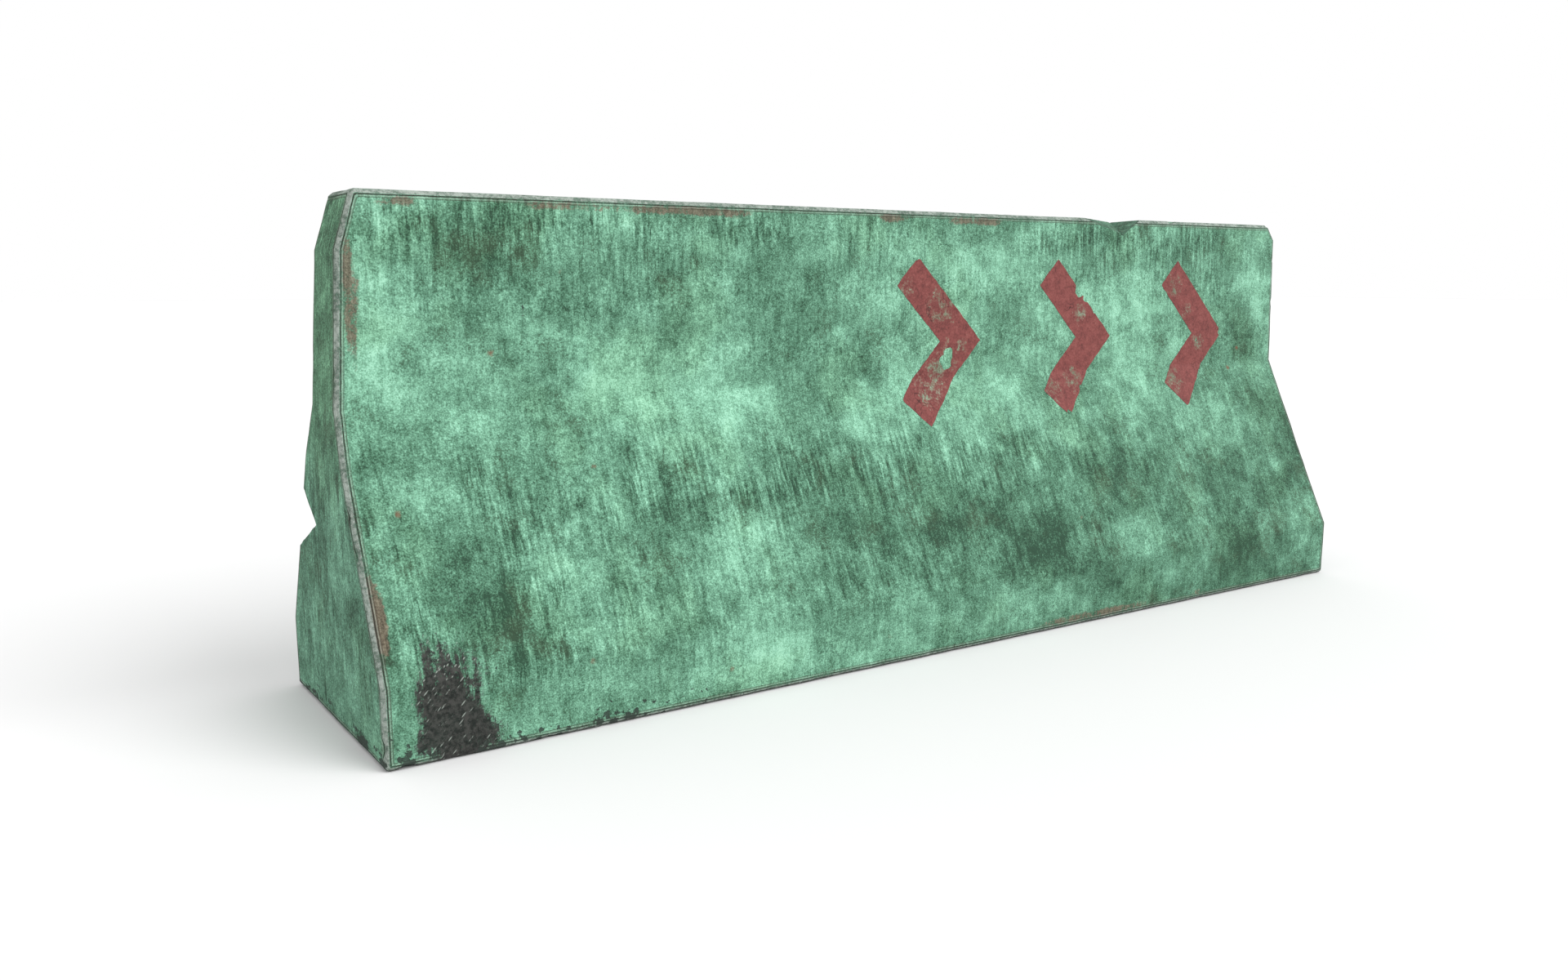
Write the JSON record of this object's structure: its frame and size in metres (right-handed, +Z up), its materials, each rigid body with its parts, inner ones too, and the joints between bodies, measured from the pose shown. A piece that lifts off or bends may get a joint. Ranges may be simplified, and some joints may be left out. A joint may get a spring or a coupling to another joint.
{
  "type": "concrete jersey barrier",
  "caption": "Precast concrete road barrier segment with sloped sides, worn green paint, red chevrons, a steel cage and plugged lifting sockets in its top.",
  "frame": {"origin": "middle of the underside, on the surface the segment stands on", "axes": "+X along the segment, the way the chevrons point; the face with the chevrons looks to -Y; +Z up"},
  "size_m": [2.73, 0.6, 1],
  "materials": {
    "painted_concrete": "worn matt green paint on rough concrete",
    "red_marking": "worn matt red marking film",
    "reinforcing_steel": "hot-rolled ribbed bar with light rust",
    "tying_wire": "black annealed wire",
    "socket_steel": "zinc plated steel",
    "spacer_plastic": "grey moulded plastic",
    "plug_plastic": "black moulded plastic"
  },
  "bodies": {
    "barrier": {"concrete_body": "painted_concrete", "link_1": "reinforcing_steel", "link_2": "reinforcing_steel", "link_3": "reinforcing_steel", "link_4": "reinforcing_steel", "link_5": "reinforcing_steel", "link_6": "reinforcing_steel", "link_7": "reinforcing_steel", "link_8": "reinforcing_steel", "link_9": "reinforcing_steel", "link_10": "reinforcing_steel", "base_bar_front": "reinforcing_steel", "base_bar_back": "reinforcing_steel", "toe_bar_front": "reinforcing_steel", "toe_bar_back": "reinforcing_steel", "waist_bar_front": "reinforcing_steel", "waist_bar_back": "reinforcing_steel", "top_bar_front": "reinforcing_steel", "top_bar_back": "reinforcing_steel", "tie_wires": "tying_wire", "cover_spacers": "spacer_plastic", "lifting_socket_left": "socket_steel", "lifting_socket_right": "socket_steel", "tail_bar_left": "reinforcing_steel", "tail_bar_right": "reinforcing_steel", "chevron_1": "red_marking", "chevron_2": "red_marking", "chevron_3": "red_marking"},
    "plug_left": {"socket_plug_left": "plug_plastic"},
    "plug_right": {"socket_plug_right": "plug_plastic"}
  },
  "joints": [
    {"name": "plug_left_pull", "type": "slide", "parent": "barrier", "child": "plug_left", "axis": [0, 0, 1], "range_m": [0, 0.12]},
    {"name": "plug_right_pull", "type": "slide", "parent": "barrier", "child": "plug_right", "axis": [0, 0, 1], "range_m": [0, 0.12]}
  ]
}
